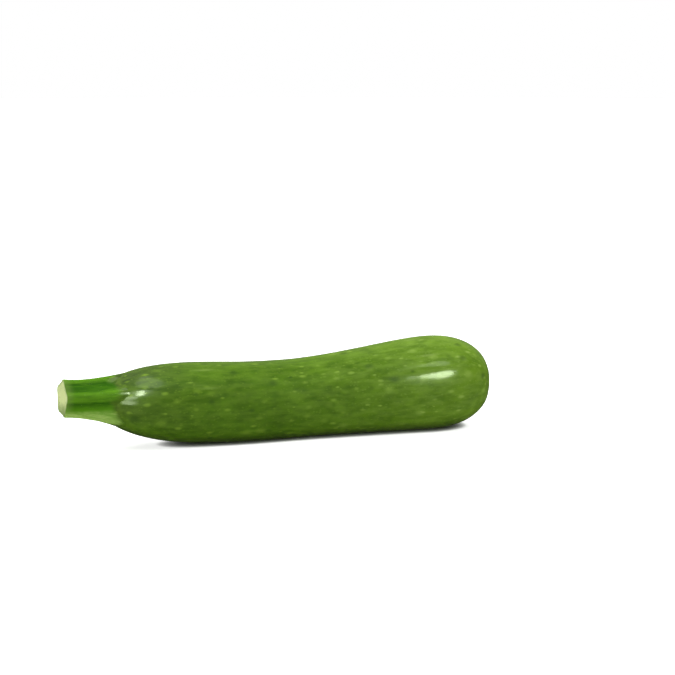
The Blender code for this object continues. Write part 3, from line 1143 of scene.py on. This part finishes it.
class FinishSettings(bpy.types.PropertyGroup):
    """Colours of the skin, the stem and the floor."""

    skin_dark: colour_of("Skin, dark", "The darker patches of the skin", (0.050, 0.122, 0.003))
    skin_mid: colour_of("Skin", "The skin's main green", (0.095, 0.212, 0.005))
    blossom_dark: colour_of(
        "Skin by the blossom, dark", "The darker patches there", (0.095, 0.200, 0.008)
    )
    skin_blossom: colour_of("Skin by the blossom", "The paler green there", (0.175, 0.325, 0.016))
    skin_shoulder: colour_of("Skin by the stem", "The deeper green there", (0.075, 0.150, 0.010))
    # Painted shadow: a darker, duller green for the top of the skin by the stem
    painted_top_shadow: colour_of("Bloom", "The dull bloom on top by the stem", (0.045, 0.082, 0.020))
    fleck: colour_of("Fleck", "The fine pale flecks and streaks", (0.215, 0.370, 0.030))
    blossom_fleck: colour_of(
        "Fleck by the blossom", "The paler flecks there", (0.310, 0.480, 0.080)
    )
    scuff: colour_of("Scuff", "A thin dry scuff", (0.290, 0.420, 0.090))
    spot: colour_of("Spot", "A small dark spot", (0.040, 0.100, 0.006))
    cork: colour_of("Cork", "The blossom scar", (0.430, 0.450, 0.190))
    cork_dark: colour_of("Cork, dark", "The blossom scar's pores", (0.170, 0.180, 0.050))
    # The grooves' own deep green, darkened further with painted shade
    stem_groove_and_painted_shade: colour_of("Groove", "The stem's grooves", (0.028, 0.118, 0.001))
    # Painted light: the grooves' paler green low down
    painted_lit_low_groove: colour_of("Low groove", "The paler grooves underneath", (0.092, 0.270, 0.004))
    stem_ridge: colour_of("Ridge", "The stem's ridges", (0.125, 0.320, 0.012))
    stem_dry: colour_of("Dry edge", "The stem by its cut", (0.220, 0.360, 0.070))
    # Painted light: the paler ridges on the stem's underside
    painted_underside_light: colour_of("Underneath", "The stem's paler ridges underneath", (0.360, 0.560, 0.120))
    cut_flesh: colour_of("Cut", "The cut face", (0.820, 0.930, 0.400))
    cut_pith: colour_of("Pith", "The paler grain in the cut", (0.900, 0.960, 0.540))
    # The darker, greyer green of the cut's lower part
    cut_lower_tone: colour_of(
        "Cut, dull", "The lower part of the cut, where it has wetted", (0.230, 0.340, 0.090)
    )
    hair: colour_of("Hair", "The stem's prickles", (0.600, 0.700, 0.400))
    floor: colour_of("Floor", "The surface that it lies on", (0.920, 0.920, 0.920))
    floor_bounce: colour_of(
        "Floor, as bounced", "What the floor throws back", (0.740, 0.740, 0.740)
    )
    # Strength of the floor's glow, which the camera alone sees
    floor_glow: share_of("Floor glow", "How far the floor is lit from below", 0.85)


class StageSettings(bpy.types.PropertyGroup):
    """Where the camera stands, and how strong the lights are."""

    azimuth: bpy.props.FloatProperty(
        name="Azimuth",
        description="Turn of the camera from the front, towards the blossom end if positive",
        default=math.radians(-15),
        subtype="ANGLE",
    )
    elevation: bpy.props.FloatProperty(
        name="Elevation",
        description="Height of the camera over the horizon",
        default=math.radians(12),
        subtype="ANGLE",
    )
    distance: length_of("Distance", "From the camera to the fruit's middle", 0.75)
    focal_length: bpy.props.FloatProperty(
        name="Focal length",
        description="In millimetres, for a 36 mm sensor",
        default=85.61,
        unit="CAMERA",
    )
    fruit_middle: bpy.props.FloatVectorProperty(
        name="Fruit's middle",
        description="Where it shows, from the picture's middle, in shares of the width",
        default=(-0.0847, -0.0840),
        size=2,
    )
    sky: share_of("Sky", "Strength of the light from all around", 0.22)
    sky_gloss: share_of("Room in gloss", "Brightness of the room where a surface mirrors it", 0.05)
    backdrop_gloss: share_of("Backdrop in gloss", "Brightness of the backdrop there", 0.38)
    gloss_tint: colour_of(
        "Tint in gloss", "Colour of the room and the backdrop there", (0.80, 1.0, 0.45)
    )
    overhead: share_of("Overhead", "Strength of the broad light from above", 3.4)
    softbox: share_of("Softbox", "Brightness of a softbox", 24.0)


# Operators


def settled(piece, origin, *replaced, slot):
    """Puts a finished piece in its place in the frame, on the part's one body."""
    piece.data.transform(Matrix.Translation(origin))
    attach(piece, "root")
    if replaced:
        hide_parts(*replaced)


class ZUCCHINI_OT_fruit(bpy.types.Operator):
    """Makes the fruit, from its shoulder to its blossom scar"""

    bl_idname = "zucchini.fruit"
    bl_label = "Make the fruit"

    def execute(self, context):
        scene = context.scene
        fruit, stem = scene.zucchini_fruit, scene.zucchini_stem
        tree = fruit_tree(fruit, stem, form_groups(fruit, stem))
        finish = scene.zucchini_finish
        skin = skin_material(finish, finish_groups(finish))
        piece = grow("zucchini_fruit", tree, {"Skin": skin})
        corners = [Vector(corner) for corner in piece.bound_box]
        for axis in (0, 1):
            reached = [corner[axis] for corner in corners]
            middle = (FRUIT_BOX[0][axis] + FRUIT_BOX[1][axis]) / 2
            fruit.origin[axis] = middle - (min(reached) + max(reached)) / 2
        settled(piece, fruit.origin, "fruit", slot="skin")
        return {"FINISHED"}


class ZUCCHINI_OT_stem(bpy.types.Operator):
    """Makes the ridged stem with its cut, sunk into the fruit's shoulder"""

    bl_idname = "zucchini.stem"
    bl_label = "Make the stem"

    def execute(self, context):
        scene = context.scene
        fruit, stem = scene.zucchini_fruit, scene.zucchini_stem
        tree = stem_tree(fruit, stem, form_groups(fruit, stem))
        finish = scene.zucchini_finish
        flesh = stem_material(finish, finish_groups(finish))
        settled(grow("zucchini_stem", tree, {"Flesh": flesh}), fruit.origin, "stem", slot="stem")
        return {"FINISHED"}


class ZUCCHINI_OT_prickles(bpy.types.Operator):
    """Scatters short stiff hairs over the stem"""

    bl_idname = "zucchini.prickles"
    bl_label = "Scatter the prickles"

    def execute(self, context):
        stem = bpy.data.objects["zucchini_stem"]
        hair = hair_material(context.scene.zucchini_finish)
        piece = grow("stem_prickles", prickle_tree(), {"Stem": stem, "Hair": hair})
        settled(piece, (0, 0, 0), slot="stem")
        return {"FINISHED"}


class ZUCCHINI_OT_stage(bpy.types.Operator):
    """Sets the floor, the studio light and the camera"""

    bl_idname = "zucchini.stage"
    bl_label = "Set the stage"

    def execute(self, context):
        stage = context.scene.zucchini_stage
        make_floor(floor_material(context.scene.zucchini_finish))
        light_sky(context.scene, stage)
        sun = bpy.data.lights.new("overhead", "SUN")
        sun.energy = stage.overhead
        sun.angle = OVERHEAD_SPREAD
        above = bpy.data.objects.new("overhead", sun)
        context.scene.collection.objects.link(above)
        above.rotation_euler = (OVERHEAD_TILT, 0, 0)
        above.visible_glossy = False
        for name, target, azimuth, elevation, size, share in SOFTBOXES:
            hang_softbox(name, target, azimuth, elevation, size, share * stage.softbox)
        set_camera(context.scene, stage)
        return {"FINISHED"}


def towards(azimuth, elevation):
    """The direction to something at this turn from the front and height over the horizon."""
    level = math.cos(elevation)
    return Vector((math.sin(azimuth) * level, -math.cos(azimuth) * level, math.sin(elevation)))


def make_floor(material):
    """A wide round floor at the height that the fruit rests on."""
    shape = bmesh.new()
    bmesh.ops.create_circle(shape, cap_ends=True, segments=96, radius=FLOOR_RADIUS)
    mesh = bpy.data.meshes.new("floor")
    shape.to_mesh(mesh)
    shape.free()
    mesh.materials.append(material)
    made = bpy.data.objects.new("floor", mesh)
    made.visible_glossy = False
    bpy.context.scene.collection.objects.link(made)
    return made


def light_sky(scene, stage):
    """Even light from all around, with a white backdrop.

    Gloss mirrors a dim room in front of the backdrop, in the green that the fruit throws into it.
    """
    world = bpy.data.worlds.new("studio")
    world.use_nodes = True
    tree = world.node_tree
    lit = tree.nodes["Background"]
    seen = add(tree, "ShaderNodeLightPath")
    glossy = Field(seen.outputs["Is Glossy Ray"])
    _, depth, height = VectorField(add(tree, "ShaderNodeTexCoord").outputs["Generated"]).parts()
    backdrop = smooth_step(0.0, 0.7, depth) * smooth_step(-0.05, 0.20, height)
    mirrored = between(stage.sky_gloss, stage.backdrop_gloss, backdrop)
    by_ray = between(stage.sky, mirrored, glossy)
    feed(lit.inputs["Color"], mixed(glossy, (1, 1, 1, 1), opaque(stage.gloss_tint)))
    feed(lit.inputs["Strength"], between(by_ray, 1.0, Field(seen.outputs["Is Camera Ray"])))
    scene.world = world


def hang_softbox(name, target, azimuth, elevation, size, brightness):
    """A near softbox that faces its target and shows in its gloss alone.

    The angles are in degrees.
    """
    light = bpy.data.lights.new(name, "AREA")
    light.shape = "ELLIPSE"
    light.size, light.size_y = size
    light.energy = brightness * math.pi * size[0] * size[1]
    light.color = SOFTBOX_TINT
    direction = towards(math.radians(azimuth), math.radians(elevation))
    box = bpy.data.objects.new(name, light)
    box.location = Vector(target) + direction * SOFTBOX_DISTANCE
    box.rotation_euler = (-direction).to_track_quat("-Z", "Y").to_euler()
    box.visible_diffuse = False
    bpy.context.scene.collection.objects.link(box)


def set_camera(scene, stage):
    """Stands the camera where the fruit's middle shows at its place in the picture."""
    data = bpy.data.cameras.new("camera")
    data.sensor_width = SENSOR_WIDTH
    data.lens = stage.focal_length
    camera = bpy.data.objects.new("camera", data)
    scene.collection.objects.link(camera)
    middle = Vector(FRUIT_MIDDLE)
    back = towards(stage.azimuth, stage.elevation)
    right = Vector((0, 0, 1)).cross(back).normalized()
    up = back.cross(right)
    picture_width = stage.distance * data.sensor_width / data.lens
    across, upwards = stage.fruit_middle
    eye = middle + back * stage.distance
    aim = middle - (right * across + up * upwards) * picture_width
    camera.location = eye
    camera.rotation_euler = (aim - eye).to_track_quat("-Z", "Y").to_euler()
    data.clip_start, data.clip_end = CLIP_NEAR, CLIP_FAR
    scene.camera = camera
    scene.view_settings.view_transform = "Standard"


class ZUCCHINI_PT_panel(bpy.types.Panel):
    """Lists what makes the zucchini, with its sizes and colours"""

    bl_idname = "ZUCCHINI_PT_panel"
    bl_label = "Zucchini"
    bl_space_type = "VIEW_3D"
    bl_region_type = "UI"
    bl_category = "Zucchini"

    def draw(self, context):
        for operator, holder in STEPS:
            box = self.layout.box()
            box.operator(operator)
            settings = getattr(context.scene, holder, None)
            for name in settings.__annotations__ if settings else ():
                box.prop(settings, name)


STEPS = (
    ("zucchini.fruit", "zucchini_fruit"),
    ("zucchini.stem", "zucchini_stem"),
    ("zucchini.prickles", "zucchini_finish"),
    ("zucchini.stage", "zucchini_stage"),
)
HOLDERS = {
    "zucchini_fruit": FruitSettings,
    "zucchini_stem": StemSettings,
    "zucchini_finish": FinishSettings,
    "zucchini_stage": StageSettings,
}
CLASSES = (
    *HOLDERS.values(),
    ZUCCHINI_OT_fruit,
    ZUCCHINI_OT_stem,
    ZUCCHINI_OT_prickles,
    ZUCCHINI_OT_stage,
    ZUCCHINI_PT_panel,
)


def register():
    for cls in CLASSES:
        bpy.utils.register_class(cls)
    for name, cls in HOLDERS.items():
        setattr(bpy.types.Scene, name, bpy.props.PointerProperty(type=cls))


def unregister():
    for name in HOLDERS:
        delattr(bpy.types.Scene, name)
    for cls in reversed(CLASSES):
        bpy.utils.unregister_class(cls)


def main():
    register()
    bpy.ops.zucchini.fruit()
    bpy.ops.zucchini.stem()
    bpy.ops.zucchini.prickles()
    bpy.ops.zucchini.stage()


if __name__ == "__main__":
    main()
